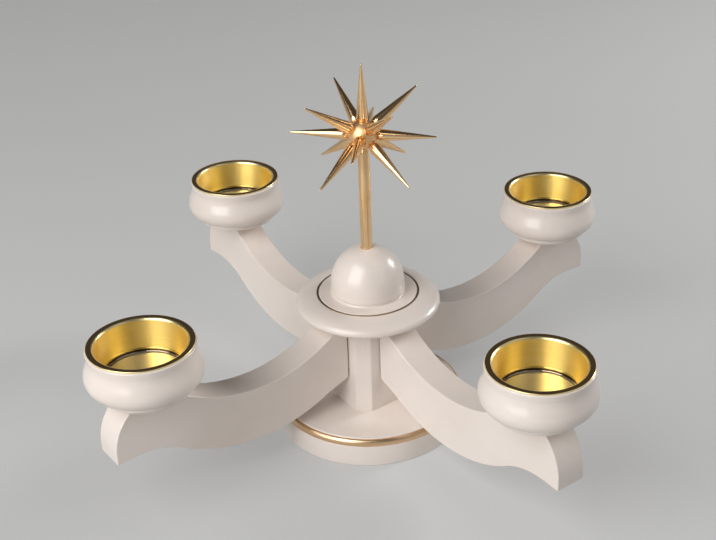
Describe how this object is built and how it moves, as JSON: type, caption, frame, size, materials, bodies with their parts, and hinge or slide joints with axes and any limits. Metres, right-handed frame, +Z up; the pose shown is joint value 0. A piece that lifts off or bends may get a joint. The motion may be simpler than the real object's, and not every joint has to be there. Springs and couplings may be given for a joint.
{
  "type": "advent candle holder",
  "caption": "Tabletop advent candle holder: curved arms on a round base carry turned tealight cups round a central dome with a spiked star on a rod.",
  "frame": {"origin": "centre of the round base on the surface it stands on", "axes": "+Z up through post, dome and rod; the four arms lie along +X, +Y, -X and -Y"},
  "size_m": [0.3184, 0.3184, 0.203],
  "materials": {
    "lacquer": "wood under a satin cream-white lacquer",
    "gold_insert": "pressed sheet, gold anodised, fine turned grain",
    "brass": "polished",
    "steel": "zinc-plated screws",
    "beech": "plain beech dowels"
  },
  "bodies": {
    "stand": {"base": "lacquer", "base_band": "brass", "base_screw": "steel", "post": "lacquer", "collar": "lacquer", "collar_ring": "brass", "dome": "lacquer", "arm_right": "lacquer", "arm_back": "lacquer", "arm_left": "lacquer", "arm_front": "lacquer", "arm_dowels_right": "beech", "arm_dowels_back": "beech", "arm_dowels_left": "beech", "arm_dowels_front": "beech", "cup_right": "lacquer", "cup_back": "lacquer", "cup_left": "lacquer", "cup_front": "lacquer", "cup_screw_right": "steel", "cup_screw_back": "steel", "cup_screw_left": "steel", "cup_screw_front": "steel"},
    "insert_right": {"insert_right": "gold_insert"},
    "insert_back": {"insert_back": "gold_insert"},
    "insert_left": {"insert_left": "gold_insert"},
    "insert_front": {"insert_front": "gold_insert"},
    "star": {"star_rod": "brass", "star_hub": "brass", "star_spike_top": "brass", "star_spike_upper_1": "brass", "star_spike_upper_2": "brass", "star_spike_upper_3": "brass", "star_spike_upper_4": "brass", "star_spike_level_1": "brass", "star_spike_level_2": "brass", "star_spike_level_3": "brass", "star_spike_level_4": "brass", "star_spike_lower_1": "brass", "star_spike_lower_2": "brass", "star_spike_lower_3": "brass", "star_spike_lower_4": "brass"}
  },
  "joints": [
    {"name": "insert_right_lift", "type": "slide", "parent": "stand", "child": "insert_right", "axis": [0, 0, 1], "range_m": [0, 0.03]},
    {"name": "insert_back_lift", "type": "slide", "parent": "stand", "child": "insert_back", "axis": [0, 0, 1], "range_m": [0, 0.03]},
    {"name": "insert_left_lift", "type": "slide", "parent": "stand", "child": "insert_left", "axis": [0, 0, 1], "range_m": [0, 0.03]},
    {"name": "insert_front_lift", "type": "slide", "parent": "stand", "child": "insert_front", "axis": [0, 0, 1], "range_m": [0, 0.03]},
    {"name": "star_lift", "type": "slide", "parent": "stand", "child": "star", "axis": [0, 0, 1], "range_m": [0, 0.04]}
  ]
}
